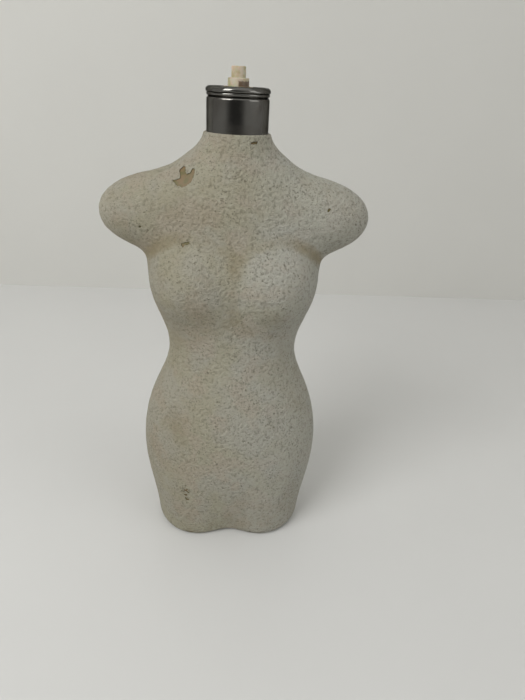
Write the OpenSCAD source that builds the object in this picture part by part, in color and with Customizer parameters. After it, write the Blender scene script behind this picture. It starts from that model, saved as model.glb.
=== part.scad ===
// Perfume bottle in the form of a plain shop dress form, with a crimped spray pump.
// Origin: centre of the base. The front faces -Y and the pump stands along +Z.

/* [Torso] */
// Height of the ledge that the collar stands on
torso_h = 145; // [142:0.5:150]
// Height of the widest part of the hips
hip_z = 36; // [32:1:40]
// Width of the hips
hip_w = 64; // [60:1:70]
// Depth of the hips
hip_d = 42; // [38:1:46]
// Distance between the middles of the thighs
thigh_gap = 25; // [22:1:28]
// Width of one thigh at the base
thigh_w = 30; // [26:1:32]
// Depth of one thigh at the base
thigh_d = 36; // [32:1:40]
// Height of the waist
waist_z = 72; // [68:1:76]
// Width of the waist
waist_w = 41; // [38:1:46]
// Depth of the waist
waist_d = 30; // [27:1:33]
// Height of the middle of the chest
chest_z = 101; // [97:1:104]
// Width of the chest
chest_w = 54; // [50:1:58]
// Depth of the chest
chest_d = 31; // [28:1:34]
// Distance between the middles of the two halves of the bust
bust_gap = 25; // [23:1:28]
// Diameter of each half of the bust
bust_d = 25; // [23:1:27]
// Height of the shoulders
shoulder_z = 122; // [119:1:124]
// Width of the shoulder line, without the arm stubs
shoulder_w = 64; // [60:1:68]
// Depth of the shoulder line
shoulder_d = 24; // [22:1:27]
// Width over both arm stubs
arm_span = 86; // [82:1:90]
// Diameter of an arm stub
arm_d = 21; // [19:1:23]
// Softness with which the forms run into each other
blend = 3; // [2:0.1:4]

/* [Glass] */
// Thickness of the glass wall
glass_t = 3; // [2:0.1:4]
// Thickness of the glass floor
floor_t = 6; // [4:0.5:9]
// Rounding of the outer base edge
edge_r = 2.5; // [1:0.5:4]
// Width of the flat ring that the bottle stands on
foot_w = 4; // [3:0.5:6]
// Depth of the hollow under the base
recess_h = 0.8; // [0.4:0.1:1.5]

/* [Neck] */
// Height of the neck above the ledge
neck_h = 9.2; // [8.8:0.1:9.6]
// Outside diameter of the neck below the bead
neck_d = 12.8; // [12:0.1:13]
// Outside diameter of the crimp bead
bead_d = 15; // [14.6:0.1:15.4]
// Height of the crimp bead
bead_h = 4.4; // [4:0.1:4.8]
// Bore of the neck
bore_d = 9.6; // [9.2:0.1:10]

/* [Collar] */
// Outside diameter of the collar's skirt
collar_d = 18.5; // [18.2:0.1:19.5]
// Thickness of the collar's sheet metal
collar_t = 0.5; // [0.3:0.05:0.6]
// Height of the plain skirt
skirt_h = 9.3; // [8.8:0.1:9.5]
// Height of the whole collar
collar_h = 12.5; // [12.3:0.1:13.4]
// Diameter over the rolled rim
rim_d = 19; // [18.9:0.1:19.6]
// Thickness of the rolled rim
rim_t = 1.4; // [1.1:0.1:1.4]
// Thickness of the small ring under the rim
ring_t = 1; // [0.8:0.1:1.1]

/* [Crimp] */
// Thickness of the ferrule's sheet metal
ferrule_t = 0.4; // [0.3:0.05:0.5]
// Thickness of the neck gasket
gasket_t = 0.8; // [0.6:0.1:1]
// Thickness of the housing's flange
flange_t = 1; // [0.8:0.1:1.2]
// Thickness of the gland's flange
gland_t = 0.8; // [0.6:0.1:1]
// Height of the gland's tube above the ferrule
gland_rise = 0.3; // [0.1:0.1:1]
// Depth that the gland's tube reaches into the housing
gland_reach = 2.4; // [2:0.1:2.8]

/* [Pump] */
// Outside diameter of the housing
housing_d = 8.8; // [8.6:0.05:9]
// Bore of the housing, in which the piston slides
cylinder_d = 7.4; // [7.2:0.05:7.6]
// Diameter of the stem's wide part
stem_d = 6.2; // [5.8:0.05:6.3]
// Height of the stem's wide part above the collar's rim
stem_rise = 2.2; // [1.8:0.1:3.5]
// Diameter of the stem's narrow tip
tip_d = 4.2; // [4:0.05:4.6]
// Length of the stem's narrow tip
tip_l = 3; // [2.6:0.1:4.5]
// Diameter of the spray channel in the tip
channel_d = 1.6; // [1:0.1:2]
// Diameter of the valve rod
rod_d = 2.4; // [2:0.1:2.6]
// Travel of the stem when the button is pressed
stroke = 3.5; // [3:0.1:3.8]
// Travel of the piston on the rod as the valve opens
slip = 0.5; // [0.3:0.1:0.8]
// Length of the piston
piston_l = 3.2; // [2.6:0.1:3.6]
// Length of the return spring at rest
spring_l = 8; // [7.6:0.1:9]
// Diameter of the spring wires
wire_d = 0.5; // [0.4:0.05:0.55]
// Number of turns of each spring
turns = 6; // [4:1:7]
// Diameter of the inlet ball
ball_d = 2.4; // [2:0.1:2.6]
// Travel of the inlet ball
ball_lift = 0.6; // [0.4:0.1:0.8]
// Outside diameter of the dip tube
tube_d = 2.96; // [2.6:0.02:3.1]
// Bore of the dip tube
tube_bore = 2; // [1.6:0.1:2.2]
// Space between the end of the dip tube and the glass floor
tube_gap = 1.5; // [1:0.1:3]

/* [Fits] */
// Radial clearance of a part that slides
run_fit = 0.04; // [0.02:0.01:0.08]
// Radial clearance between fixed parts
seat_fit = 0.02; // [0.01:0.01:0.05]
// Radial clearance between the ferrule and the glass bead
crimp_fit = 0.1; // [0.05:0.01:0.2]

/* [Hidden] */
$fn = 64;
eps = 0.01;
// How far a cutting solid runs past the face that it cuts
over = 1;

// Points round half of each ring of the glass, and the spacing of the rings
half_points = 34;
skin_step = 3.2;
arm_step = 1.7;
cavity_step = 9;
// How much closer together the points stand at the arms than at the front
arm_share = 1.7;
// Bisection steps that find the skin, and the furthest it can lie from the axis
skin_tries = 13;
reach = 64;

// Forms of the torso that depend on nothing else
hip_h = 43;
thigh_h = 44;
waist_h = 34;
chest_h = 31;
shoulder_h = 12;
bust_forward = 6.5;
bust_drop = 1;
shoulder_back = 2.5;
arm_l = 34;
arm_drop = 1.5;
arm_clear = 4;
nape_w = 38;
nape_h = 14;
nape_rise = 6;
nape_thin = 2;
column_rise = 5;
column_h = 30;
column_in = 0.3;
root_h = 5;
throat_h = 2;
cavity_round = 8;

// The neck and what stands on it, from the ledge up
neck_r = neck_d / 2;
bead_r = bead_d / 2;
bore_r = bore_d / 2;
bead_z = torso_h + neck_h - bead_h;
lip_z = torso_h + neck_h;
gasket_top = lip_z + gasket_t;
flange_top = gasket_top + flange_t;
gland_top = flange_top + gland_t;
ferrule_top = gland_top + ferrule_t;
neck_play = 0.3;
bead_round = 0.8;
bead_corner = bead_round * (1 - sqrt(0.5));
lip_round = 0.4;
liner_gap = 0.3;
gasket_in = 0.3;
flange_in = 0.5;
liner_lip = 1;
liner_play = 0.1;
ferrule_in = bead_r + crimp_fit;
ferrule_out = ferrule_in + ferrule_t;
crimp_z = bead_z - crimp_fit - ferrule_t;
collar_r = collar_d / 2;
rim_z = torso_h + collar_h;

// The pump, from its seal down
housing_r = housing_d / 2;
cylinder_r = cylinder_d / 2;
stem_r = stem_d / 2;
rod_r = rod_d / 2;
wire_r = wire_d / 2;
ball_r = ball_d / 2;
tube_r = tube_d / 2;
gland_r = stem_r + run_fit;
insert_r = cylinder_r - seat_fit;
insert_z = flange_top - gland_reach;
turret_wall = 0.5;
turret_r = insert_r + turret_wall;
seal_t = 0.7;
seal_z = insert_z - seal_t;
stop_t = 1;
stop_in = 0.2;
stop_z = seal_z - stop_t;
stem_top = rim_z + stem_rise;
tip_z = stem_top + tip_l;
chamber_wall = 0.7;
chamber_r = stem_r - chamber_wall;
chamber_h = 4.1;
chamber_z = stop_z + chamber_h;
socket_l = 2;
rod_play = 0.1;
rod_flat = 0.4;
spring_room = 1.4;
piston_room = slip + spring_room;
piston_top = stop_z - piston_room;
piston_z = piston_top - piston_l;
piston_in = 0.4;
piston_lip = 0.6;
disc_t = 1;
disc_lip = 1.4;
disc_r = rod_r + disc_lip;
disc_z = piston_z - disc_t;
tail_room = 1.5;
rod_tail = spring_l - stroke - tail_room;
cup_z = disc_z - spring_l;
cup_t = 1;
coil_play = 0.4;
cage_play = 0.3;
cage_room = 0.6;
cage_r = ball_r + cage_play;
mouth_in = 0.2;
mouth_r = ball_r - mouth_in;
seat_r = ball_r * 2 / 3;
ball_seat = sqrt(ball_r * ball_r - seat_r * seat_r);
seat_z = cup_z - cup_t - cage_room - ball_lift - ball_r - ball_seat;
ball_z = seat_z + ball_seat + eps;
inlet_t = 0.8;
socket_top = seat_z - inlet_t;
tube_socket = 6;
tail_wall = 0.9;
tail_r = tube_r + seat_fit + tail_wall;
tail_z = socket_top - tube_socket;
step_t = 0.8;
shell_z = cup_z - cup_t - step_t;
flange_r = bead_r - flange_in;

stone = [0.60, 0.60, 0.53];
gunmetal = [0.22, 0.22, 0.22];
aluminium = [0.72, 0.72, 0.72];
cream = [0.80, 0.76, 0.66];
steel = [0.66, 0.67, 0.69];

// Each form of the torso is an oval: its centre and its three radii
function ovals() = [
    [[0, 0, hip_z], [hip_w, hip_d, 2 * hip_h] / 2],
    [[0, 0.5, waist_z], [waist_w, waist_d, 2 * waist_h] / 2],
    [[0, 1.5, chest_z], [chest_w, chest_d, 2 * chest_h] / 2],
    [[0, shoulder_back, shoulder_z], [shoulder_w, shoulder_d, 2 * shoulder_h] / 2],
    [[0, shoulder_back / 2, shoulder_z + nape_rise], [nape_w, shoulder_d - nape_thin, 2 * nape_h] / 2],
    [[0, 0, torso_h + column_rise], [collar_r - column_in, collar_r - column_in, column_h]],
    for (side = [-1, 1]) each [
        [[side * thigh_gap / 2, 0, 4], [thigh_w / 2, thigh_d / 2, thigh_h]],
        [[side * bust_gap / 2, -bust_forward, chest_z - bust_drop], [bust_d, bust_d, bust_d] / 2],
        [[side * (arm_span - arm_l) / 2, shoulder_back, shoulder_z - arm_drop],
         [arm_l, arm_d, arm_d] / 2]
    ]
];

// Distance, nearly, from a point to the skin of one oval, below zero inside
function oval_gap(p, oval) =
    let (near = [for (i = [0:2]) (p[i] - oval[0][i]) / oval[1][i]])
    let (slope = [for (i = [0:2]) near[i] / oval[1][i]])
    norm(near) * (norm(near) - 1) / norm(slope);

// The same distance to all the ovals run softly together
function skin_gap(p, forms) =
    let (pulls = [for (form = forms) exp(-oval_gap(p, form) / blend)])
    -blend * ln(pulls * [for (pull = pulls) 1]);

// Radius at which the skin, moved inwards by inset, lies along one direction
function skin_r(a, z, inset, forms, low = 0, high = reach, tries = skin_tries) =
    let (r = (low + high) / 2)
    tries == 0 ? r
    : skin_gap([r * cos(a), r * sin(a), z], forms) < -inset
        ? skin_r(a, z, inset, forms, r, high, tries - 1)
        : skin_r(a, z, inset, forms, low, r, tries - 1);

// Directions from the front, past the arm at +X, to the back
half_angles = [
    for (i = [0:half_points])
        let (t = 180 * (i / half_points - 1 / 2)) atan2(sin(t), arm_share * cos(t))
];

// A whole ring from its right half, mirrored to the left
function whole(half) = concat(
    half, [for (i = [half_points - 1:-1:1]) [-half[i][0], half[i][1], half[i][2]]]
);
function skin_ring(z, inset, forms) = whole([
    for (a = half_angles)
        let (r = skin_r(a, z, inset, forms)) [r * cos(a), r * sin(a), z]
]);
function round_ring(r, z) = whole([for (a = half_angles) [r * cos(a), r * sin(a), z]]);

// A ring drawn in towards the axis, at a height of its own
function drawn_in(ring, by, z) = [
    for (p = ring)
        let (keep = 1 - by / norm([p[0], p[1]])) [p[0] * keep, p[1] * keep, z]
];

// Equal steps from just above one height up to another
function steps(low, high, step) =
    let (rows = ceil((high - low) / step))
    [for (i = [1:rows]) low + (high - low) * i / rows];

// The outside of the glass from the hollow under the base up to the ledge
function outside(forms) =
    let (foot = skin_ring(0, edge_r, forms))
    let (arm_low = shoulder_z - arm_drop - arm_d / 2 - arm_clear)
    let (heights = concat(steps(edge_r, arm_low, skin_step), steps(arm_low, torso_h, arm_step)))
    [
        drawn_in(foot, foot_w + recess_h, recess_h),
        drawn_in(foot, foot_w, 0),
        foot,
        for (a = [30:30:90]) skin_ring(edge_r * (1 - cos(a)), edge_r * (1 - sin(a)), forms),
        for (z = heights) skin_ring(z, 0, forms)
    ];

// The neck: up its outside, over the lip and down the bore
neck_rings = [
    round_ring(neck_r, torso_h), round_ring(neck_r, bead_z - lip_round),
    round_ring(neck_r + neck_play, bead_z), round_ring(bead_r, bead_z + bead_round),
    round_ring(bead_r, lip_z - bead_round),
    round_ring(bead_r - bead_corner, lip_z - bead_corner),
    round_ring(bead_r - bead_round, lip_z), round_ring(bore_r + lip_round, lip_z),
    round_ring(bore_r, lip_z - lip_round), round_ring(bore_r, torso_h - root_h + throat_h)
];

// The inside of the glass from under the neck down to the floor
function inside(forms) =
    let (top = torso_h - root_h)
    let (low = floor_t + cavity_round)
    let (rows = ceil((top - low) / cavity_step))
    [
        for (i = [0:rows - 1]) skin_ring(top - (top - low) * i / rows, glass_t, forms),
        for (a = [90:-30:0])
            skin_ring(
                low - cavity_round * cos(a), glass_t + cavity_round * (1 - sin(a)), forms
            )
    ];

// One closed solid from a stack of rings and a point in the middle of each end
module ring_stack(rings, first, last) {
    n = len(rings[0]);
    rows = len(rings);
    points = concat([for (ring = rings) each ring], [first, last]);
    sides = [
        for (i = [0:rows - 2]) for (j = [0:n - 1])
            let (k = (j + 1) % n)
            each [
                [i * n + j, (i + 1) * n + j, (i + 1) * n + k],
                [i * n + j, (i + 1) * n + k, i * n + k]
            ]
    ];
    start = [for (j = [0:n - 1]) [rows * n, j, (j + 1) % n]];
    end = [for (j = [0:n - 1]) [rows * n + 1, (rows - 1) * n + (j + 1) % n, (rows - 1) * n + j]];
    polyhedron(points, concat(start, sides, end), 10);
}

// A ring or tube about the Z axis
module tube(r_in, r_out, low, high) {
    translate([0, 0, low])
        difference() {
            cylinder(r = r_out, h = high - low);
            translate([0, 0, -over]) cylinder(r = r_in, h = high - low + 2 * over);
        }
}

// A coil spring about the Z axis between two heights, with flat-lying end turns
module coil(r, low, high) {
    sides = 6;
    steps = 16;
    count = turns * steps;
    travel = high - low - wire_d - 2 * eps;
    rings = [
        for (i = [0:count])
            let (share = max(0, min(1, (i - steps) / (count - 2 * steps))))
            let (lift = wire_d * 1.1 * (min(i, steps) + max(0, i - count + steps)) / steps)
            let (z = low + wire_r + eps + lift + (travel - wire_d * 2.2) * share)
            let (a = 360 * i / steps)
            [
                for (s = [0:sides - 1])
                    let (out = r + wire_r * cos(360 * s / sides))
                    [out * cos(a), out * sin(a), z + wire_r * sin(360 * s / sides)]
            ]
    ];
    first = [r, 0, rings[0][0][2]];
    last = [r * cos(360 * turns), r * sin(360 * turns), rings[count][0][2]];
    ring_stack(rings, first, last);
}

module torso_bottle() {
    forms = ovals();
    color(stone)
        ring_stack(
            concat(outside(forms), neck_rings, inside(forms)),
            [0, 0, recess_h], [0, 0, floor_t]
        );
}

// Drawn from sheet metal: plain skirt, rounded edge, small ring and rolled rim
module collar() {
    wall = collar_r - collar_t;
    upper = wall - collar_t;
    color(gunmetal)
        translate([0, 0, torso_h])
            rotate_extrude() {
                translate([wall, 0]) square([collar_t, skirt_h]);
                translate([upper, skirt_h - collar_t])
                    square([collar_t + eps, collar_h - skirt_h - rim_t / 2]);
                translate([wall - eps, skirt_h - eps]) intersection() {
                    circle(r = collar_t);
                    square(collar_t);
                }
                intersection() {
                    translate([upper + ring_t / 2, (skirt_h + collar_t + collar_h - rim_t) / 2])
                        circle(d = ring_t);
                    translate([upper, skirt_h]) square(collar_h - skirt_h);
                }
                translate([(rim_d - rim_t) / 2, collar_h - rim_t / 2]) circle(d = rim_t);
            }
}

// Plastic ring that holds the collar on the ferrule, with a lip round the neck
module collar_liner() {
    outer = collar_r - collar_t - seat_fit;
    low = torso_h + liner_gap;
    color(cream) {
        tube(ferrule_out + seat_fit, outer, low, torso_h + skirt_h - collar_t - liner_play);
        tube(neck_r + neck_play, outer, low, low + liner_lip);
    }
}

// Aluminium cap crimped round the bead of the neck
module ferrule() {
    color(aluminium) {
        tube(ferrule_in, ferrule_out, crimp_z, ferrule_top);
        tube(neck_r + neck_play, ferrule_out, crimp_z, crimp_z + ferrule_t);
        tube(turret_r + crimp_fit, ferrule_out, gland_top, ferrule_top);
    }
}

module neck_gasket() {
    color("dimgray") tube(housing_r + seat_fit, bead_r - gasket_in, lip_z, gasket_top);
}

// Cylinder with a flange on the gasket, a cage for the ball and a socket for the tube
module pump_housing() {
    color("ghostwhite")
        difference() {
            union() {
                translate([0, 0, gasket_top]) cylinder(r = flange_r, h = flange_t);
                translate([0, 0, shell_z]) cylinder(r = housing_r, h = flange_top - shell_z);
                translate([0, 0, tail_z]) cylinder(r = tail_r, h = shell_z - tail_z + eps);
            }
            translate([0, 0, cup_z]) cylinder(r = cylinder_r, h = flange_top - cup_z + over);
            translate([0, 0, cup_z - cup_t - over]) cylinder(r = mouth_r, h = cup_t + 2 * over);
            translate([0, 0, seat_z]) cylinder(r = cage_r, h = cup_z - cup_t - seat_z);
            translate([0, 0, socket_top - over]) cylinder(r = seat_r, h = inlet_t + 2 * over);
            translate([0, 0, tail_z - over]) cylinder(r = tube_r + seat_fit, h = tube_socket + over);
        }
}

// Plastic guide that closes the housing and steadies the stem
module gland() {
    color(cream) {
        tube(gland_r, insert_r, insert_z, flange_top);
        tube(gland_r, flange_r, flange_top, gland_top);
        tube(gland_r, turret_r, gland_top, ferrule_top + gland_rise);
    }
}

module stem_seal() {
    color("black") tube(gland_r, insert_r, seal_z, insert_z);
}

// Moving stem: narrow tip for the button, wide guide, stop flange and spring chamber
module pump_stem() {
    color(cream)
        difference() {
            union() {
                translate([0, 0, stop_z]) cylinder(r = cylinder_r - stop_in, h = stop_t);
                translate([0, 0, stop_z]) cylinder(r = stem_r, h = stem_top - stop_z);
                translate([0, 0, stem_top - eps]) cylinder(d = tip_d, h = tip_l + eps);
            }
            translate([0, 0, stop_z - over]) cylinder(r = chamber_r, h = chamber_z - stop_z + over);
            translate([0, 0, chamber_z - over]) cylinder(r = rod_r + seat_fit, h = socket_l + over);
            translate([0, 0, chamber_z]) cylinder(d = channel_d, h = tip_z - chamber_z + over);
        }
}

// Rod fixed in the stem, with a flat for the liquid and a disc that the piston seats on
module valve_rod() {
    top = chamber_z + socket_l - rod_play;
    color("ghostwhite")
        difference() {
            union() {
                translate([0, 0, disc_z - rod_tail]) cylinder(r = rod_r, h = top - disc_z + rod_tail);
                translate([0, 0, disc_z]) cylinder(r = disc_r, h = disc_t);
            }
            translate([rod_r - rod_flat, -rod_r, piston_top])
                cube([rod_r, 2 * rod_r, top - piston_top + 1]);
        }
}

// Piston with a sealing lip at each end
module piston() {
    color("white")
        difference() {
            union() {
                translate([0, 0, piston_z]) cylinder(r = cylinder_r - piston_in, h = piston_l);
                for (z = [piston_z, piston_top - piston_lip])
                    translate([0, 0, z]) cylinder(r = cylinder_r - run_fit, h = piston_lip);
            }
            translate([0, 0, piston_z - over]) cylinder(r = rod_r + run_fit, h = piston_l + 2 * over);
        }
}

module precompression_spring() {
    color(steel) coil((rod_r + chamber_r) / 2, piston_top, chamber_z);
}

module return_spring() {
    color(steel) coil(cylinder_r - wire_r - coil_play, cup_z, disc_z);
}

module inlet_ball() {
    color(steel) translate([0, 0, ball_z]) sphere(r = ball_r);
}

module dip_tube() {
    color("whitesmoke") tube(tube_bore / 2, tube_r, floor_t + tube_gap, socket_top);
}

torso_bottle();
collar();
collar_liner();
ferrule();
neck_gasket();
pump_housing();
gland();
stem_seal();
pump_stem();
valve_rod();
piston();
precompression_spring();
return_spring();
inlet_ball();
dip_tube();
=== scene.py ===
# %% [markdown]
# # A stone-coated glass bottle with a spray pump
# The bottle is glass in a plain form like a shop dress form, sprayed with a granular
# stone-effect coat. A gunmetal collar hides the crimp, and the pump's bare stem stands out
# of it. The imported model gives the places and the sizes, and this script adds the looks.

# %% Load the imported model
import math

import bmesh
import bpy
from mathutils import Matrix, Vector, noise
from mathutils.bvhtree import BVHTree


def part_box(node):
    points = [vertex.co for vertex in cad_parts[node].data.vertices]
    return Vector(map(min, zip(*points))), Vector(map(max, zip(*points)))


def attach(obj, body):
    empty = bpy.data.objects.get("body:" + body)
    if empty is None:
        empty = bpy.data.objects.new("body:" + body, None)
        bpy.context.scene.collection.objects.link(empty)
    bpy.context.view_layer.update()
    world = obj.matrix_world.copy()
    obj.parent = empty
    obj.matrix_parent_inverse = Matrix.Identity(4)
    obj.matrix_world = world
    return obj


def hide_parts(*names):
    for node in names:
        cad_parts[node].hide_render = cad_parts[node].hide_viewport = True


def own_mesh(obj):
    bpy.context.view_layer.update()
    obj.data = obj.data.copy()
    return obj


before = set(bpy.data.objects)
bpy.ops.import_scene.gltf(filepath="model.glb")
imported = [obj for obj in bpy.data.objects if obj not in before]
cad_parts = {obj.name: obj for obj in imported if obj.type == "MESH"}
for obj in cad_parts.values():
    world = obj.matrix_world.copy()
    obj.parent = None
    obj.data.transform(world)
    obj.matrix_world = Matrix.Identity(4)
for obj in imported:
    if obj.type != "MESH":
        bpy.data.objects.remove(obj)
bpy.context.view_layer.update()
MM = 0.001

# %% [markdown]
# ## The places that everything is set out from
# The collar's box gives the ledge it stands on and its rim. The stem's box gives the tip.

# %% Read the places from the frame
collar_low, collar_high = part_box("collar")
stem_low, stem_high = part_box("pump_stem")
ledge_z = collar_low.z
rim_z = collar_high.z
rim_r = collar_high.x
collar_h = rim_z - ledge_z
print("ledge", round(ledge_z, 4), "rim", round(rim_z, 4), "tip", round(stem_high.z, 4))

# %% [markdown]
# ## The camera
# A phone held close, level with the collar and tilted down, makes the body taper strongly
# towards its base. Forward, right and up are worked out from the tilt, turn and roll, and
# become the columns of the camera's matrix.

# %% Place the camera
CAMERA_AWAY = 169.5 * MM
CAMERA_ABOVE_LEDGE = 14 * MM
CAMERA_LENS = 27.05
CAMERA_TILT = math.radians(26.98)
CAMERA_TURN = math.radians(3.70)
CAMERA_ROLL = math.radians(3.03)
NEAR_CLIP = 10 * MM


def camera_axes(tilt, turn, roll):
    forward = Vector((
        math.sin(turn) * math.cos(tilt), math.cos(turn) * math.cos(tilt), -math.sin(tilt)
    ))
    level_right = Vector((math.cos(turn), -math.sin(turn), 0))
    level_up = level_right.cross(forward)
    right = math.cos(roll) * level_right + math.sin(roll) * level_up
    up = math.cos(roll) * level_up - math.sin(roll) * level_right
    return right, up, -forward


camera_data = bpy.data.cameras.new("camera")
camera_data.lens = CAMERA_LENS
camera_data.clip_start = NEAR_CLIP
camera = bpy.data.objects.new("camera", camera_data)
bpy.context.scene.collection.objects.link(camera)
facing = Matrix(camera_axes(CAMERA_TILT, CAMERA_TURN, CAMERA_ROLL)).transposed().to_4x4()
stand = Matrix.Translation((0, -CAMERA_AWAY, ledge_z + CAMERA_ABOVE_LEDGE))
camera.matrix_world = stand @ facing
bpy.context.scene.camera = camera
print("camera", [round(c, 4) for c in camera.location])

# %% [markdown]
# ## Helpers for node materials
# Each finish is a Principled shader fed by noise on Object coordinates. A few helpers keep
# that short: one adds a node and sets its sockets, one scales a noise by its grain in
# millimetres, and one turns a noise into a mask with soft edges.

# %% Define the material helpers


class Finish:
    """A material with a Principled shader, and short ways to add nodes to it."""

    def __init__(self, name):
        self.material = bpy.data.materials.new(name)
        self.material.use_nodes = True
        self.tree = self.material.node_tree
        self.shader = self.tree.nodes["Principled BSDF"]
        self.place = self.tree.nodes.new("ShaderNodeTexCoord").outputs["Object"]

    def plain(self, **sockets):
        """Set sockets of the shader to plain values, such as Roughness=0.4."""
        for name, value in sockets.items():
            self.shader.inputs[name.replace("_", " ")].default_value = value
        return self

    def feed(self, source, socket):
        """Link an output into a socket of the shader."""
        self.tree.links.new(source, self.shader.inputs[socket])

    def node(self, kind, inputs=(), **settings):
        """Add a node, with its settings, and fill its inputs by number or name."""
        node = self.tree.nodes.new(kind)
        for name, value in settings.items():
            setattr(node, name, value)
        for key, value in dict(inputs).items():
            if isinstance(value, bpy.types.NodeSocket):
                self.tree.links.new(value, node.inputs[key])
            else:
                node.inputs[key].default_value = value
        return node

    def noise(self, grain_mm, detail=3.0, rough=0.5):
        """Noise whose blotches are about grain_mm across."""
        inputs = {
            "Vector": self.place, "Scale": 1 / (grain_mm * MM),
            "Detail": detail, "Roughness": rough,
        }
        return self.node("ShaderNodeTexNoise", inputs).outputs["Fac"]

    def mask(self, value, low, high):
        """0 below low, 1 above high, and a soft step between."""
        inputs = {"Value": value, "From Min": low, "From Max": high}
        node = self.node("ShaderNodeMapRange", inputs, interpolation_type="SMOOTHSTEP")
        return node.outputs["Result"]

    def times(self, first, second):
        return self.node("ShaderNodeMath", {0: first, 1: second}, operation="MULTIPLY").outputs[0]

    def plus(self, first, second):
        return self.node("ShaderNodeMath", {0: first, 1: second}, operation="ADD").outputs[0]

    def mix(self, share, first, second):
        """Colour first where share is 0 and colour second where it is 1."""
        node = self.node("ShaderNodeMix", data_type="RGBA")
        for socket, value in (("Factor", share), ("A", first), ("B", second)):
            target = [i for i in node.inputs if i.name == socket and i.enabled][0]
            if isinstance(value, bpy.types.NodeSocket):
                self.tree.links.new(value, target)
            elif socket == "Factor":
                target.default_value = value
            else:
                target.default_value = (*value, 1.0)
        return [o for o in node.outputs if o.enabled][0]

    def attribute(self, name):
        return self.node("ShaderNodeAttribute", attribute_name=name).outputs["Fac"]

    def axis(self, letter):
        split = self.node("ShaderNodeSeparateXYZ", {0: self.place})
        return split.outputs[letter]

    def roughness(self, value, at_0, at_1):
        """Roughness that runs from at_0 to at_1 as a value goes from 0 to 1."""
        inputs = {"Value": value, "To Min": at_0, "To Max": at_1}
        node = self.node("ShaderNodeMapRange", inputs)
        self.feed(node.outputs["Result"], "Roughness")

    def bump(self, height, depth_mm):
        """Bump of a given depth, chained onto any bump already there."""
        inputs = {"Height": height, "Distance": depth_mm * MM, "Strength": 1.0}
        if self.shader.inputs["Normal"].links:
            inputs["Normal"] = self.shader.inputs["Normal"].links[0].from_socket
        node = self.node("ShaderNodeBump", inputs)
        self.feed(node.outputs["Normal"], "Normal")


def dress(piece, finish):
    """Give a piece one finish over all of its faces."""
    piece.data.materials.clear()
    piece.data.materials.append(finish.material)


# %% [markdown]
# ## Helpers for meshes
# A new piece starts as a bmesh. Turned parts are spun from a profile of radius and height,
# and each comes back closed, smooth and with its faces pointing out.

# %% Define the mesh helpers
TOUCHING = 1e-7  # places nearer than this count as one, in metres
TINY = 1e-9  # keeps a division from dividing by nothing


def keep_piece(name, bm, body, replaced=()):
    """Turn a bmesh into a piece that rides on a body."""
    mesh = bpy.data.meshes.new(name)
    bm.to_mesh(mesh)
    bm.free()
    piece = bpy.data.objects.new(name, mesh)
    bpy.context.scene.collection.objects.link(piece)
    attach(piece, body)
    if replaced:
        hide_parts(*replaced)
    return piece


def arc(centre_r, centre_z, radius, start, stop, count):
    """Points of a profile along an arc, with its angles in degrees from outwards."""
    return [
        (centre_r + radius * math.cos(math.radians(start + (stop - start) * i / count)),
         centre_z + radius * math.sin(math.radians(start + (stop - start) * i / count)))
        for i in range(count + 1)
    ]


def turned_part(profile, steps):
    """Spin a closed profile of (radius, height) points, in metres, about the Z axis.

    steps is the number of slices in the whole turn."""
    bm = bmesh.new()
    points = [bm.verts.new((r, 0, z)) for r, z in profile]
    edges = [bm.edges.new((points[i - 1], points[i])) for i in range(len(points))]
    bmesh.ops.spin(
        bm, geom=points + edges, cent=(0, 0, 0), axis=(0, 0, 1),
        angle=math.tau, steps=steps, use_merge=True
    )
    bmesh.ops.remove_doubles(bm, verts=bm.verts, dist=TOUCHING)
    bmesh.ops.recalc_face_normals(bm, faces=bm.faces)
    return bm


def smooth_by_angle(piece, degrees):
    """Smooth shading, with the edges sharper than an angle left crisp."""
    piece.data.shade_smooth()
    piece.data.set_sharp_from_angle(angle=math.radians(degrees))


# %% [markdown]
# ## The coat's skin
# The coat is a third of a millimetre of grit and paint on the glass. Its mesh starts as a
# merged copy of the glass. Everything above the ledge is cut away and the outer skin is
# kept. Its top edge is drawn straight up for a few millimetres, so that smoothing doesn't
# round the ledge, and a voxel remesh gives it even faces that can be smoothed and raised.

# %% Take the outer skin of the glass
COAT_T = 0.42 * MM
SKIN_VOXEL = 0.75 * MM
SMOOTH_PASSES = 14
NUDGE = 0.02 * MM
COLUMN_H = 6 * MM
SEAM = 0.002 * MM


def outer_skin(source, top_z):
    """The outermost shell of a hollow mesh, cut level with top_z and drawn up from there."""
    bm = bmesh.new()
    bm.from_mesh(source.data)
    bmesh.ops.remove_doubles(bm, verts=bm.verts, dist=SEAM)
    bmesh.ops.bisect_plane(
        bm, geom=bm.verts[:] + bm.edges[:] + bm.faces[:], dist=TOUCHING,
        plane_co=(0, 0, top_z - NUDGE), plane_no=(0, 0, 1), clear_outer=True
    )
    widest = max(bm.verts, key=lambda v: v.co.x)
    shell = {widest}
    fresh = [widest]
    while fresh:
        corner = fresh.pop()
        for edge in corner.link_edges:
            other = edge.other_vert(corner)
            if other not in shell:
                shell.add(other)
                fresh.append(other)
    bmesh.ops.delete(bm, geom=[v for v in bm.verts if v not in shell], context="VERTS")
    rim = [e for e in bm.edges if e.is_boundary]
    drawn = bmesh.ops.extrude_edge_only(bm, edges=rim)["geom"]
    raised = [g for g in drawn if isinstance(g, bmesh.types.BMVert)]
    bmesh.ops.translate(bm, verts=raised, vec=(0, 0, COLUMN_H))
    bmesh.ops.holes_fill(bm, edges=[e for e in bm.edges if e.is_boundary])
    bmesh.ops.triangulate(bm, faces=[f for f in bm.faces if len(f.verts) > 4])
    bmesh.ops.recalc_face_normals(bm, faces=bm.faces)
    return bm


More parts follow.
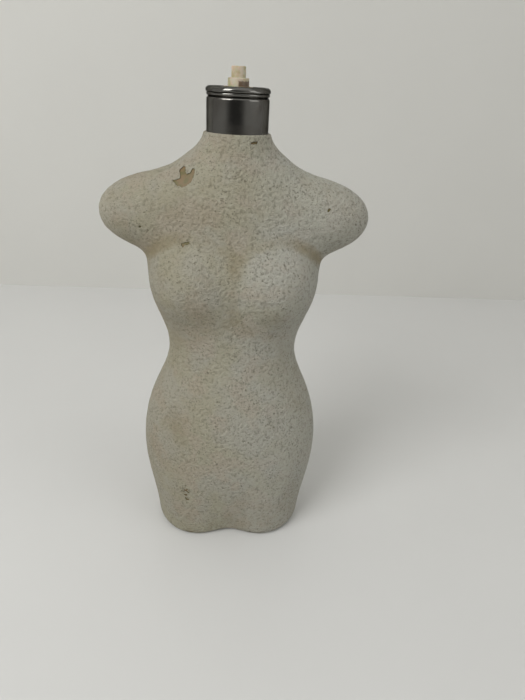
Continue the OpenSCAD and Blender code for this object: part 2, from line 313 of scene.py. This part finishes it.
def remeshed(bm, voxel):
    """The same closed form in even square faces."""
    mesh = bpy.data.meshes.new("skin")
    bm.to_mesh(mesh)
    bm.free()
    holder = bpy.data.objects.new("skin", mesh)
    bpy.context.scene.collection.objects.link(holder)
    remesh = holder.modifiers.new("even", "REMESH")
    remesh.mode = "VOXEL"
    remesh.voxel_size = voxel
    evaluated = holder.evaluated_get(bpy.context.evaluated_depsgraph_get())
    even = bmesh.new()
    even.from_mesh(evaluated.to_mesh())
    bpy.data.objects.remove(holder)
    return even


def smooth_once(bm):
    """Move every point halfway to the middle of its neighbours."""
    bmesh.ops.smooth_vert(
        bm, verts=bm.verts, factor=0.5, use_axis_x=True, use_axis_y=True, use_axis_z=True
    )


coat = remeshed(outer_skin(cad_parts["torso_bottle"], ledge_z), SKIN_VOXEL)
for step in range(SMOOTH_PASSES):
    smooth_once(coat)
print("coat skin", len(coat.verts), "points")

# %% [markdown]
# ## An even coat
# Smoothing draws a form in, most of all where it is tightly curved. A search tree over the
# glass gives each point's gap to it. The gaps are averaged, so that the flat faces of the
# glass don't print through, and each point then moves out to the coat's own thickness.

# %% Set the coat off the glass
GAP_PASSES = 12


def signed_gap(tree, vert):
    """How far a point stands off the glass, below zero inside it."""
    point = vert.co.copy()
    point.z = min(point.z, ledge_z - NUDGE)
    place = tree.find_nearest(point)[0]
    return (point - place).dot(vert.normal)


def averaged(bm, values, passes):
    """A value on each point, averaged with its neighbours again and again."""
    for step in range(passes):
        values = [
            (values[v.index] + sum(values[e.other_vert(v).index] for e in v.link_edges)
             / len(v.link_edges)) / 2
            for v in bm.verts
        ]
    return values


glass = bmesh.new()
glass.from_mesh(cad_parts["torso_bottle"].data)
glass_tree = BVHTree.FromBMesh(glass)
glass.free()
coat.normal_update()
coat.verts.index_update()
gaps = averaged(coat, [signed_gap(glass_tree, v) for v in coat.verts], GAP_PASSES)
for vert, gap in zip(coat.verts, gaps):
    vert.co += vert.normal * (COAT_T - gap)
print("coat drawn in by up to", round(-min(gaps) / MM, 2), "mm before it was set off")

# %% [markdown]
# ## Hollows that hold dirt
# Brown stain gathers where the form dips in. A strongly smoothed copy of the skin lies
# above the real one in a hollow and below it on a crown, so the distance between the two
# says how hollow a place is. It is kept as a value on each point for the finish to read.

# %% Measure how hollow each point is
HOLLOW_PASSES = 140
HOLLOW_FULL = 0.55 * MM

coat.normal_update()
rest = [(v.co.copy(), v.normal.copy()) for v in coat.verts]
for step in range(HOLLOW_PASSES):
    smooth_once(coat)
hollow_layer = coat.verts.layers.float.new("hollow")
for vert, (place, normal) in zip(coat.verts, rest):
    dip = (vert.co - place).dot(normal) / HOLLOW_FULL
    vert[hollow_layer] = max(-1.0, min(1.0, dip))
    vert.co = place
print("deepest hollow", round(max(v[hollow_layer] for v in coat.verts), 2))

# %% [markdown]
# ## Open the coat at the collar and at the foot
# The sprayed coat stops just above the table and laps the ledge up to the collar. Two level
# cuts take the foot and the column away, and the foot's edge turns in to the glass. The lip
# is built from even rings: each runs from the cut edge's own radius, averaged round the
# neck, in to a true round hole.

# %% Cut the two ends and build the lip
COAT_FOOT = 0.25 * MM
LIP_H = 0.3 * MM
LIP_ROUND = 0.7 * MM
COLLAR_PLAY = 0.08 * MM
LIP_STEPS = 160
LIP_RINGS = 6
LIP_CALM = 1.6 * MM
RADIUS_PASSES = 4
WELD = 0.15 * MM
RIM_PROUD = 0.25 * MM
skirt_r = rim_r - RIM_PROUD
hole_r = skirt_r + COLLAR_PLAY
lip_low = ledge_z + LIP_H - LIP_ROUND


def turn_of(place):
    """The angle of a place round the Z axis."""
    return math.atan2(place.y, place.x)


def level_cut(bm, height, keep_above):
    """Cut a mesh level at a height, keep one side and weld the short edges of the cut."""
    cut = bmesh.ops.bisect_plane(
        bm, geom=bm.verts[:] + bm.edges[:] + bm.faces[:], dist=TOUCHING,
        plane_co=(0, 0, height), plane_no=(0, 0, 1),
        clear_inner=keep_above, clear_outer=not keep_above
    )
    # The weld depends on the order of its points, so they go round by angle
    edge_points = [g for g in cut["geom_cut"] if isinstance(g, bmesh.types.BMVert)]
    edge_points.sort(key=lambda v: turn_of(v.co))
    bmesh.ops.remove_doubles(bm, verts=edge_points, dist=WELD)
    bmesh.ops.dissolve_degenerate(bm, edges=bm.edges, dist=TOUCHING)
    rim = [e for e in bm.edges if e.is_boundary and abs(e.verts[0].co.z - height) < NUDGE]
    return sorted(rim, key=lambda e: turn_of(e.verts[0].co + e.verts[1].co))


def edge_radii(edges, steps):
    """The radius of a rough ring at even angles, averaged with its neighbours."""
    corners = {v for e in edges for v in e.verts}
    spots = sorted((turn_of(v.co), v.co.xy.length) for v in corners)
    (first_angle, first_r), (last_angle, last_r) = spots[0], spots[-1]
    spots = [(last_angle - math.tau, last_r), *spots, (first_angle + math.tau, first_r)]
    radii = []
    for step in range(steps):
        angle = math.tau * step / steps - math.pi
        after = next(i for i in range(1, len(spots)) if spots[i][0] >= angle)
        (a1, r1), (a2, r2) = spots[after - 1], spots[after]
        radii.append(r1 + (r2 - r1) * (angle - a1) / max(a2 - a1, TINY))
    for step in range(RADIUS_PASSES):
        radii = [
            (radii[i - 1] + 2 * radii[i] + radii[(i + 1) % steps]) / 4 for i in range(steps)
        ]
    return radii


foot_edges = level_cut(coat, COAT_FOOT, True)
foot_turn = bmesh.ops.extrude_edge_only(coat, edges=foot_edges)["geom"]
for vert in (g for g in foot_turn if isinstance(g, bmesh.types.BMVert)):
    vert.co.xy *= 1 - COAT_T / vert.co.xy.length
top_edges = level_cut(coat, lip_low, False)
radii = edge_radii(top_edges, LIP_STEPS)
rings = []
for ring in range(1, LIP_RINGS + 1):
    turn = math.pi / 2 * ring / LIP_RINGS
    level = lip_low + LIP_ROUND * math.sin(turn)
    points = []
    for step, radius in enumerate(radii):
        angle = math.tau * step / LIP_STEPS - math.pi
        reach = hole_r + (radius - hole_r) * math.cos(turn)
        points.append(coat.verts.new((reach * math.cos(angle), reach * math.sin(angle), level)))
    rings.append(points)
loops = [[coat.edges.new((p[i - 1], p[i])) for i in range(LIP_STEPS)] for p in rings]
bmesh.ops.bridge_loops(coat, edges=top_edges + loops[0])
for low_ring, high_ring in zip(rings, rings[1:]):
    for i in range(LIP_STEPS):
        coat.faces.new((low_ring[i - 1], low_ring[i], high_ring[i], high_ring[i - 1]))
bmesh.ops.recalc_face_normals(coat, faces=coat.faces)
least, most = (round((r - hole_r) / MM, 2) for r in (min(radii), max(radii)))
print("lip runs in by", least, "to", most, "mm")

# %% [markdown]
# ## Chips in the coat
# Where the coat has flaked, the olive-brown layer under it shows. Each flake is a handful
# of short strokes with ragged edges, set out across the front by its place in x and z. The
# mesh is made finer there, the flake is pressed in, and its shape is kept for the finish.

# %% Press the chips in
CHIP_DEPTH = 0.3 * MM
CHIP_EDGE = 0.16  # width of the slope at a chip's edge, in millimetres
# Ragged edges: seed, lumps to a millimetre and height in millimetres of each noise
CHIP_RAGGED = ((3.0, 1.7, 0.22), (9.0, 5.0, 0.10))
CHIP_FINER = (1.2, 0.6, 0.3)  # how near a chip each round of finer mesh reaches
FAR_OFF = 99.0

# Each chip: its middle as (x, z) in millimetres, and strokes that run from one point
# and radius to another, (x1, z1, radius1, x2, z2, radius2)
CHIPS = {
    "shoulder": ((-15.6, 132.6), [
        (-2.9, -0.9, 0.25, -1.6, -1.2, 0.9), (-1.6, -1.2, 0.9, -0.2, -1.0, 1.25),
        (-0.2, -1.0, 1.25, 1.4, 0.1, 1.2), (1.4, 0.1, 1.2, 2.5, 1.2, 0.7),
        (2.5, 1.2, 0.7, 3.0, 2.6, 0.35), (0.1, 0.0, 1.1, -0.3, 1.8, 0.9),
        (-0.3, 1.8, 0.9, 0.1, 2.6, 0.45),
    ]),
    "chest": ((-15.0, 114.5), [
        (-0.7, -0.4, 0.5, 0.1, 0, 0.35), (0.1, 0.1, 0.35, 1.0, 0.2, 0.45),
    ]),
    "under_collar": ((5.0, 143.2), [(-0.8, 0, 0.25, 0.6, 0.1, 0.35)]),
    "thigh": ((-16.0, 20.0), [
        (-0.2, 5.2, 0.1, 0.1, 5.5, 0.2), (-1.1, 4.1, 0.1, 1.1, 2.4, 0.32),
        (-0.8, 2.4, 0.12, 0.6, 3.9, 0.28), (-1.7, 2.3, 0.1, -1.4, 2.5, 0.22),
        (-0.1, 0.9, 0.4, 0.3, 1.1, 0.3), (0, -0.5, 0.3, 0.2, -1.1, 0.2),
        (0.2, -1.0, 0.2, 0.9, -1.2, 0.3),
    ]),
    "foot_left": ((-15.0, 1.5), [(-1.0, -0.1, 0.45, 1.0, 0.1, 0.4)]),
    "foot_right": ((9.0, 1.1), [(-0.4, 0.1, 0.4, 0.5, -0.1, 0.25)]),
    "arm_right": ((28.5, 125.0), [(-0.2, 0, 0.4, 0.3, 0.2, 0.3)]),
    "arm_left": ((-29.0, 118.0), [(0, 0, 0.2, 0.1, 0.2, 0.3)]),
}


def chip_gap(x, z, middle, strokes):
    """Distance in millimetres from a point to the edge of a chip, below zero inside it."""
    gap = FAR_OFF
    for x1, z1, radius1, x2, z2, radius2 in strokes:
        start = Vector((middle[0] + x1, middle[1] + z1))
        along = Vector((x2 - x1, z2 - z1))
        here = Vector((x, z)) - start
        share = max(0.0, min(1.0, here.dot(along) / max(along.length_squared, TINY)))
        radius = radius1 + (radius2 - radius1) * share
        gap = min(gap, (here - along * share).length - radius)
    return gap


def near_chip(point, reach_mm):
    """True for a point on the front that is within reach of any chip."""
    if point.y > 0:
        return False
    return any(
        chip_gap(point.x / MM, point.z / MM, *chip) < reach_mm for chip in CHIPS.values()
    )


for reach_mm in CHIP_FINER:
    near_faces = [f for f in coat.faces if near_chip(f.calc_center_median(), reach_mm)]
    fine = dict.fromkeys(e for f in near_faces for e in f.edges)
    bmesh.ops.subdivide_edges(coat, edges=list(fine), cuts=1, use_grid_fill=True)
coat.normal_update()
chip_layer = coat.verts.layers.float.new("chip")
for vert in coat.verts:
    if vert.co.y > 0:
        continue
    x, z = vert.co.x / MM, vert.co.z / MM
    ragged = sum(
        height * noise.noise(Vector((x, z, seed)) * pitch)
        for seed, pitch, height in CHIP_RAGGED
    )
    gap = min(chip_gap(x, z, *chip) for chip in CHIPS.values()) + ragged
    vert[chip_layer] = max(0.0, min(1.0, 0.5 - gap / CHIP_EDGE))
print("chipped points", sum(1 for v in coat.verts if v[chip_layer] > 0.5))

# %% [markdown]
# ## Grain that can be felt
# The coat's bigger lumps are real relief: two sizes of noise move each point along its
# normal. Finer grit is left to the finish. Inside a chip the relief is flat.

# %% Raise the grain
LUMPS = ((3.0, 0.05), (1.5, 0.06))  # grain and height, in millimetres
LUMPS_APART = 7.0

moves = []
for vert in coat.verts:
    lift = sum(
        height * noise.noise(vert.co / (grain * MM) + Vector((LUMPS_APART * i, 0, 0)))
        for i, (grain, height) in enumerate(LUMPS)
    )
    share = vert[chip_layer]
    calm = max(0.0, min(1.0, (lip_low - vert.co.z) / LIP_CALM))
    moves.append(vert.normal * (lift * MM * (1 - share) * calm - CHIP_DEPTH * share))
for vert, move in zip(coat.verts, moves):
    if not vert.is_boundary:
        vert.co += move

stone_coat = keep_piece("stone_coat", coat, "bottle")
stone_coat.data.shade_smooth()
print("stone_coat", len(stone_coat.data.polygons), "faces")

# %% [markdown]
# ## The stone finish
# Grey-green and pinkish tan drift over the body in soft patches, paler and cooler towards the
# right and browner and darker towards the left. Dark and pale grains sit on top, brown stain
# lies in the hollows, and the chips are olive brown and a little glossy. Each layer is a mask
# that says where, times a share that says how much, and the layers go on in order.

# %% Mix the stone finish
STONE_GREEN = (0.345, 0.334, 0.256)
STONE_COOL = (0.355, 0.348, 0.294)
STONE_PINK = (0.372, 0.332, 0.268)
STONE_PALE = (0.44, 0.425, 0.355)
STONE_COOL_PALE = (0.372, 0.368, 0.325)
STONE_DARK = (0.105, 0.098, 0.070)
STAIN_BROWN = (0.225, 0.185, 0.105)
UNDERCOAT = (0.165, 0.110, 0.045)
UNDERCOAT_DARK = (0.115, 0.098, 0.030)


def stone_base(stone):
    """Drifting green, cool and pinkish patches, paler and cooler towards the right, and paler at
    the left end.
    """
    cool = stone.mask(stone.noise(15, 2), 0.42, 0.58)
    pinkish = stone.mask(stone.noise(9, 3), 0.49, 0.62)
    # Paler and cooler towards the right.
    cooler_paler_right = stone.mask(stone.axis("X"), -6 * MM, 26 * MM)
    # Paler towards the left end.
    paler_left_end = stone.mask(stone.axis("X"), -34 * MM, -43 * MM)
    tint = stone.mix(cool, STONE_GREEN, STONE_COOL)
    tint = stone.mix(stone.times(pinkish, 0.7), tint, STONE_PINK)
    tint = stone.mix(stone.times(cooler_paler_right, 0.65), tint, STONE_COOL_PALE)
    return stone.mix(stone.times(paler_left_end, 0.6), tint, STONE_PALE)


def stone_grains(stone, tint, grain):
    """Pale and dark grains, and crowds of small dark specks."""
    pale = stone.mask(grain, 0.54, 0.68)
    dark = stone.mask(grain, 0.48, 0.34)
    crowded = stone.mask(stone.noise(7, 3), 0.36, 0.56)
    specks = stone.times(stone.mask(stone.noise(0.6, 2), 0.39, 0.33), crowded)
    tint = stone.mix(stone.times(pale, 0.45), tint, STONE_PALE)
    tint = stone.mix(stone.times(dark, 0.45), tint, STONE_DARK)
    return stone.mix(stone.times(specks, 0.85), tint, STONE_DARK)


def stone_stains(stone, tint):
    """Brown in the hollows, and a thin brown haze that drifts and favours one side."""
    patchy = stone.times(stone.noise(3.5, 6, 0.68), 0.75)
    dips = stone.mask(stone.plus(stone.attribute("hollow"), patchy), 0.40, 1.15)
    drift = stone.mask(stone.noise(26, 6, 0.66), 0.44, 0.74)
    # Browner and darker towards the left.
    browner_darker_left = stone.mask(stone.axis("X"), 20 * MM, -28 * MM)
    haze = stone.plus(stone.times(drift, 0.35), stone.times(browner_darker_left, 0.32))
    tint = stone.mix(stone.times(dips, 0.8), tint, STAIN_BROWN)
    return stone.mix(haze, tint, STAIN_BROWN)


def stone_finish():
    stone = Finish("stone coat")
    grain = stone.noise(1.0, 3, 0.62)
    tint = stone_stains(stone, stone_grains(stone, stone_base(stone), grain))
    chip = stone.attribute("chip")
    bare = stone.mask(chip, 0.35, 0.65)
    # A pale ring just outside each chip's edge is a painted highlight.
    painted_highlight_rim = stone.times(stone.mask(chip, 0.02, 0.2), stone.mask(chip, 0.5, 0.3))
    tint = stone.mix(stone.times(painted_highlight_rim, 0.6), tint, STONE_PALE)
    under = stone.mix(stone.mask(stone.noise(1.9, 3), 0.42, 0.58), UNDERCOAT, UNDERCOAT_DARK)
    stone.feed(stone.mix(bare, tint, under), "Base Color")
    stone.roughness(bare, 0.76, 0.55)
    covered = stone.mask(chip, 0.6, 0.3)
    stone.bump(stone.times(grain, covered), 1.0)
    stone.bump(stone.times(stone.noise(0.4, 2), covered), 0.08)
    return stone


dress(stone_coat, stone_finish())

# %% [markdown]
# ## The collar
# The collar is drawn from sheet: a plain skirt, a rounded edge, a small ring and a domed
# rim, all spun from one profile. Three knocks on the rim are pressed in afterwards.

# %% Spin the collar
SHEET_T = 0.5 * MM
SKIRT_H = 9.8 * MM
SKIRT_ROUND = 0.8 * MM
RING_T = 1.0 * MM
RIM_DOME = 1.2 * MM
RIM_UNDER = 0.3 * MM
RIM_INNER = 0.2 * MM
RIM_WALL = 1.4 * MM
COLLAR_STEPS = 144
COLLAR_CRISP = 50  # edges sharper than this many degrees stay crisp
neck_in = skirt_r - 2 * SHEET_T
ring_z = ledge_z + (SKIRT_H + collar_h - RIM_WALL) / 2
dome_z = rim_z - RIM_DOME
collar_profile = (
    [(skirt_r - SHEET_T, ledge_z), (skirt_r, ledge_z)]
    + arc(skirt_r - SKIRT_ROUND, ledge_z + SKIRT_H - SKIRT_ROUND, SKIRT_ROUND, 0, 65, 10)
    + arc(neck_in + RING_T / 2, ring_z, RING_T / 2, -70, 45, 10)
    + arc(rim_r - RIM_UNDER, dome_z, RIM_UNDER, -60, -10, 5)
    + arc(rim_r - RIM_DOME, dome_z, RIM_DOME, 0, 90, 18)
    + arc(rim_r - RIM_DOME, rim_z - RIM_INNER, RIM_INNER, 110, 180, 5)
    + [(rim_r - RIM_WALL, dome_z), (neck_in, rim_z - RIM_WALL)]
    + [(neck_in, ledge_z + SKIRT_H - 2 * SHEET_T)]
    + [(skirt_r - SHEET_T, ledge_z + SKIRT_H - 2 * SHEET_T)]
)
# Each knock: where it is round the rim in degrees, how wide and how deep in millimetres
KNOCKS = ((-128, 1.7, 0.30), (-52, 1.5, 0.24), (-20, 2.2, 0.16))
KNOCK_IN = 0.6
KNOCK_DOWN = 0.8
GUNMETAL = (0.165, 0.161, 0.150)
GUNMETAL_SMUDGED = (0.122, 0.115, 0.104)

collar_mesh = turned_part(collar_profile, COLLAR_STEPS)
for vert in collar_mesh.verts:
    if vert.co.z < ring_z:
        continue
    for degrees, width, depth in KNOCKS:
        way = Vector((math.cos(math.radians(degrees)), math.sin(math.radians(degrees)), 0))
        gap = (vert.co - way * rim_r - Vector((0, 0, rim_z))).length / (width * MM)
        push = way * KNOCK_IN + Vector((0, 0, KNOCK_DOWN))
        vert.co -= push * depth * MM * math.exp(-gap * gap)
collar = keep_piece("gunmetal_collar", collar_mesh, "bottle", ["collar"])
smooth_by_angle(collar, COLLAR_CRISP)
print("gunmetal_collar", len(collar.data.polygons), "faces")


def gunmetal_finish():
    metal = Finish("gunmetal").plain(Metallic=1.0, Specular_Tint=(0.3, 0.3, 0.3, 1))
    smudge = metal.mask(metal.noise(4, 4), 0.42, 0.72)
    metal.feed(metal.mix(smudge, GUNMETAL, GUNMETAL_SMUDGED), "Base Color")
    metal.roughness(smudge, 0.13, 0.26)
    metal.bump(metal.noise(6, 2), 0.05)
    return metal


dress(collar, gunmetal_finish())

# %% [markdown]
# ## The pump stem
# The stem is moulded: a narrow tip for the button, a wider guide, and a stop flange and
# spring chamber that the collar hides. Small roundings catch the light on its edges. The
# plastic is cream and lets some light in. Old perfume has stained it.

# %% Spin the stem
STEM_R = 3.1 * MM
TIP_R = 2.1 * MM
TIP_L = 3.0 * MM
CHANNEL_R = 0.8 * MM
CHAMBER_R = 2.4 * MM
SOCKET_R = 1.22 * MM
STOP_R = 3.5 * MM
STOP_T = 1.0 * MM
CHAMBER_H = 4.1 * MM
SOCKET_L = 2.0 * MM
SOFT_EDGE = 0.22 * MM
STEM_STEPS = 96
STEM_CRISP = 40
tip_z = stem_high.z
shoulder_z = tip_z - TIP_L
stop_z = stem_low.z
chamber_z = stop_z + CHAMBER_H
stem_profile = (
    [(CHAMBER_R, stop_z), (STOP_R, stop_z), (STOP_R, stop_z + STOP_T), (STEM_R, stop_z + STOP_T)]
    + arc(STEM_R - SOFT_EDGE, shoulder_z - SOFT_EDGE, SOFT_EDGE, 0, 90, 5)
    + arc(TIP_R + SOFT_EDGE / 2, shoulder_z + SOFT_EDGE / 2, SOFT_EDGE / 2, 270, 180, 4)
    + arc(TIP_R - SOFT_EDGE, tip_z - SOFT_EDGE, SOFT_EDGE, 0, 90, 5)
    + arc(CHANNEL_R + SOFT_EDGE / 2, tip_z - SOFT_EDGE / 2, SOFT_EDGE / 2, 90, 180, 4)
    + [(CHANNEL_R, chamber_z + SOCKET_L), (SOCKET_R, chamber_z + SOCKET_L)]
    + [(SOCKET_R, chamber_z), (CHAMBER_R, chamber_z)]
)
stem_mesh = turned_part(stem_profile, STEM_STEPS)
stem = keep_piece("cream_stem", stem_mesh, "stem", ["pump_stem"])
smooth_by_angle(stem, STEM_CRISP)
print("cream_stem", len(stem.data.polygons), "faces")

CREAM = (0.50, 0.435, 0.33)
CREAM_AGED = (0.37, 0.33, 0.19)
RESIDUE = (0.085, 0.045, 0.020)


def cream_finish(name, stained):
    """Aged cream plastic. A stained one has old perfume low on its front right."""
    cream = Finish(name).plain(
        Roughness=0.34, Subsurface_Weight=0.35, Subsurface_Scale=1.2 * MM
    )
    tint = cream.mix(cream.mask(cream.noise(2.2, 3), 0.42, 0.64), CREAM, CREAM_AGED)
    if stained:
        ragged = cream.times(cream.noise(0.9, 3), 1.2 * MM)
        right = cream.mask(cream.plus(cream.axis("X"), ragged), 0.25 * MM, 0.85 * MM)
        front = cream.mask(cream.axis("Y"), 0.4 * MM, -0.4 * MM)
        low = cream.mask(
            cream.plus(cream.axis("Z"), ragged), shoulder_z + 0.05 * MM, shoulder_z - 0.45 * MM
        )
        patch = cream.times(cream.times(right, front), low)
        tint = cream.mix(cream.times(patch, 0.92), tint, RESIDUE)
    cream.feed(tint, "Base Color")
    cream.bump(cream.noise(0.5, 2), 0.02)
    return cream


dress(stem, cream_finish("stained cream plastic", True))

# %% [markdown]
# ## The springs
# Each spring is a small circle of wire spun along its axis. In the real pump they are the
# only pieces that change length, each squashing towards its fixed end. Here each is coiled to
# fill its node's box.

# %% Wind the springs
WIRE_R = 0.25 * MM
WIRE_SIDES = 10
TURNS = 6
TURN_STEPS = 32


def wound_spring(name, node, body):
    """Coil a spring into its node's box."""
    low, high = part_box(node)
    coil_r = high.x - WIRE_R
    bm = bmesh.new()
    ring = bmesh.ops.create_circle(bm, segments=WIRE_SIDES, radius=WIRE_R)["verts"]
    upright = Matrix.Rotation(math.radians(90), 4, "X")
    placed = Matrix.Translation((coil_r, 0, low.z + WIRE_R)) @ upright
    bmesh.ops.transform(bm, matrix=placed, verts=ring)
    steps = TURNS * TURN_STEPS
    rise = (high.z - low.z - 2 * WIRE_R) / steps
    bmesh.ops.spin(
        bm, geom=ring + list(bm.edges), cent=(0, 0, 0), axis=(0, 0, 1), dvec=(0, 0, rise),
        angle=math.tau * TURNS, steps=steps, use_merge=False
    )
    bmesh.ops.holes_fill(bm, edges=[e for e in bm.edges if e.is_boundary])
    bmesh.ops.recalc_face_normals(bm, faces=bm.faces)
    spring = keep_piece(name, bm, body, [node])
    spring.data.shade_smooth()
    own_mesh(spring)
    print(name, len(spring.data.polygons), "faces")
    return spring


springs = [
    wound_spring("return_coil", "return_spring", "bottle"),
    wound_spring("preload_coil", "precompression_spring", "stem"),
]

# %% [markdown]
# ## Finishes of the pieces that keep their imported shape
# The rest of the pump and the crimp have the right shape already, so they only get their
# finish: satin aluminium, milky moulded plastic, rubber, steel and the glass itself.

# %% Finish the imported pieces
ALUMINIUM = (0.66, 0.66, 0.67)
ALUMINIUM_DULL = (0.5, 0.49, 0.47)
MILKY = (0.80, 0.80, 0.76)
MILKY_AGED = (0.70, 0.69, 0.62)
RUBBER = (0.030, 0.030, 0.030)
RUBBER_BLOOM = (0.055, 0.053, 0.05)
STEEL = (0.60, 0.61, 0.63)
STEEL_DULL = (0.48, 0.48, 0.49)
AMBER = (0.16, 0.13, 0.07)
AMBER_DEEP = (0.12, 0.11, 0.06)


def satin_aluminium():
    metal = Finish("satin aluminium").plain(Metallic=1.0)
    haze = metal.noise(3, 4)
    dull = metal.mask(haze, 0.4, 0.7)
    metal.feed(metal.mix(dull, ALUMINIUM, ALUMINIUM_DULL), "Base Color")
    metal.roughness(haze, 0.25, 0.45)
    metal.bump(metal.noise(0.6, 2), 0.015)
    return metal


def milky_plastic():
    plastic = Finish("milky plastic").plain(
        Roughness=0.42, Subsurface_Weight=0.4, Subsurface_Scale=1.5 * MM
    )
    cloud = plastic.noise(5, 2)
    plastic.feed(plastic.mix(cloud, MILKY, MILKY_AGED), "Base Color")
    plastic.bump(plastic.noise(0.7, 2), 0.015)
    return plastic


def black_rubber():
    rubber = Finish("black rubber").plain(Roughness=0.72)
    bloom = rubber.noise(1.5, 3)
    rubber.feed(rubber.mix(bloom, RUBBER, RUBBER_BLOOM), "Base Color")
    rubber.bump(rubber.noise(0.4, 2), 0.02)
    return rubber


def drawn_steel():
    steel = Finish("drawn steel").plain(Metallic=1.0)
    worn = steel.noise(1, 3)
    steel.feed(steel.mix(worn, STEEL, STEEL_DULL), "Base Color")
    steel.roughness(steel.noise(0.5, 2), 0.2, 0.4)
    return steel


def bottle_glass():
    glass = Finish("bottle glass").plain(Roughness=0.08, IOR=1.52, Coat_Weight=0.2)
    drift = glass.noise(12, 2)
    glass.feed(glass.mix(drift, AMBER, AMBER_DEEP), "Base Color")
    glass.bump(glass.noise(9, 2), 0.1)
    return glass


cad_finishes = {
    "torso_bottle": bottle_glass(),
    "ferrule": satin_aluminium(),
    "collar_liner": cream_finish("cream plastic", False),
    "gland": cream_finish("gland plastic", False),
    "neck_gasket": black_rubber(),
    "stem_seal": black_rubber(),
    "inlet_ball": drawn_steel(),
    **dict.fromkeys(("pump_housing", "valve_rod", "piston", "dip_tube"), milky_plastic()),
}
for name, finish in cad_finishes.items():
    dress(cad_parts[name], finish)
for spring in springs:
    dress(spring, cad_finishes["inlet_ball"])
print("finished", len(cad_finishes), "packed pieces")

# %% [markdown]
# ## Floor, wall and light
# A pale glossy table meets a plain wall close behind. A strong soft window on the left
# gives the shadow its side, a wide ceiling lamp softens it, and a fill lamp keeps the right
# side from going black.

# %% Set the stage
STAGE_HALF = 1.2
WALL_Y = 0.25
STAGE_DIMMER = 0.96
TABLE_WHITE = (0.64, 0.64, 0.625)
WALL_WHITE = (0.64, 0.635, 0.60)


def stage_plane(name, half, matrix, colour, roughness):
    bm = bmesh.new()
    bmesh.ops.create_grid(bm, x_segments=1, y_segments=1, size=half)
    bmesh.ops.transform(bm, matrix=matrix, verts=bm.verts)
    mesh = bpy.data.meshes.new(name)
    bm.to_mesh(mesh)
    bm.free()
    plane = bpy.data.objects.new(name, mesh)
    bpy.context.scene.collection.objects.link(plane)
    finish = Finish(name).plain(Roughness=roughness)
    dimmer = tuple(STAGE_DIMMER * c for c in colour)
    finish.feed(finish.mix(finish.noise(60, 3), colour, dimmer), "Base Color")
    dress(plane, finish)


stage_plane("table", STAGE_HALF, Matrix.Identity(4), TABLE_WHITE, 0.3)
wall_matrix = Matrix.Translation((0, WALL_Y, 0)) @ Matrix.Rotation(math.radians(90), 4, "X")
stage_plane("wall", STAGE_HALF, wall_matrix, WALL_WHITE, 0.8)


# Each lamp: degrees round from the front, how far away and how high, its size and its glow
LAMPS = {
    "window": (-46, 0.62, 0.58, (0.42, 0.42), 7.2),
    "ceiling": (10, 0.30, 1.3, (1.4, 1.4), 0.35),
    "fill": (62, 1.2, 0.6, (0.8, 0.8), 1.3),
}
AIM_Z = 0.08


def soft_lamp(name, turn, away, height, size, glow):
    """A panel that faces the middle of the object, whose brightness is its glow."""
    data = bpy.data.lights.new(name, "AREA")
    data.shape = "RECTANGLE"
    data.size, data.size_y = size
    data.energy = glow * math.pi * size[0] * size[1]
    lamp = bpy.data.objects.new(name, data)
    bpy.context.scene.collection.objects.link(lamp)
    angle = math.radians(turn)
    lamp.location = (away * math.sin(angle), -away * math.cos(angle), height)
    aim = Vector((0, 0, AIM_Z)) - lamp.location
    lamp.rotation_euler = aim.to_track_quat("-Z", "Y").to_euler()


for name, place in LAMPS.items():
    soft_lamp(name, *place)
print("stage set,", len(LAMPS), "lamps")

# %% [markdown]
# ## The room
# The world is a pale room with one broad darker part, on the viewer's side. A background
# that only grows darker towards one direction is a dot product of that direction with the
# view ray, run through a soft step. It gives the metal collar a dark band to reflect.

# %% Light the room
ROOM_GLOW = 0.44
ROOM_DARK = 0.07
DARK_TURN = -8
DARK_REACH = 42
ROOM_WARM = (1.0, 0.99, 0.95, 1)

world = bpy.data.worlds.new("room")
world.use_nodes = True
room = world.node_tree
turn = math.radians(DARK_TURN)
near = room.nodes.new("ShaderNodeVectorMath")
near.operation = "DOT_PRODUCT"
room.links.new(room.nodes.new("ShaderNodeTexCoord").outputs["Generated"], near.inputs[0])
near.inputs[1].default_value = (math.sin(turn), -math.cos(turn), 0)
shade = room.nodes.new("ShaderNodeMapRange")
shade.interpolation_type = "SMOOTHSTEP"
room.links.new(near.outputs["Value"], shade.inputs["Value"])
shade.inputs["From Min"].default_value = math.cos(math.radians(DARK_REACH))
shade.inputs["From Max"].default_value = 1.0
shade.inputs["To Min"].default_value = ROOM_GLOW
shade.inputs["To Max"].default_value = ROOM_DARK
background = room.nodes["Background"]
background.inputs["Color"].default_value = ROOM_WARM
room.links.new(shade.outputs["Result"], background.inputs["Strength"])
bpy.context.scene.world = world
bpy.context.scene.view_settings.view_transform = "Standard"
print("room set")
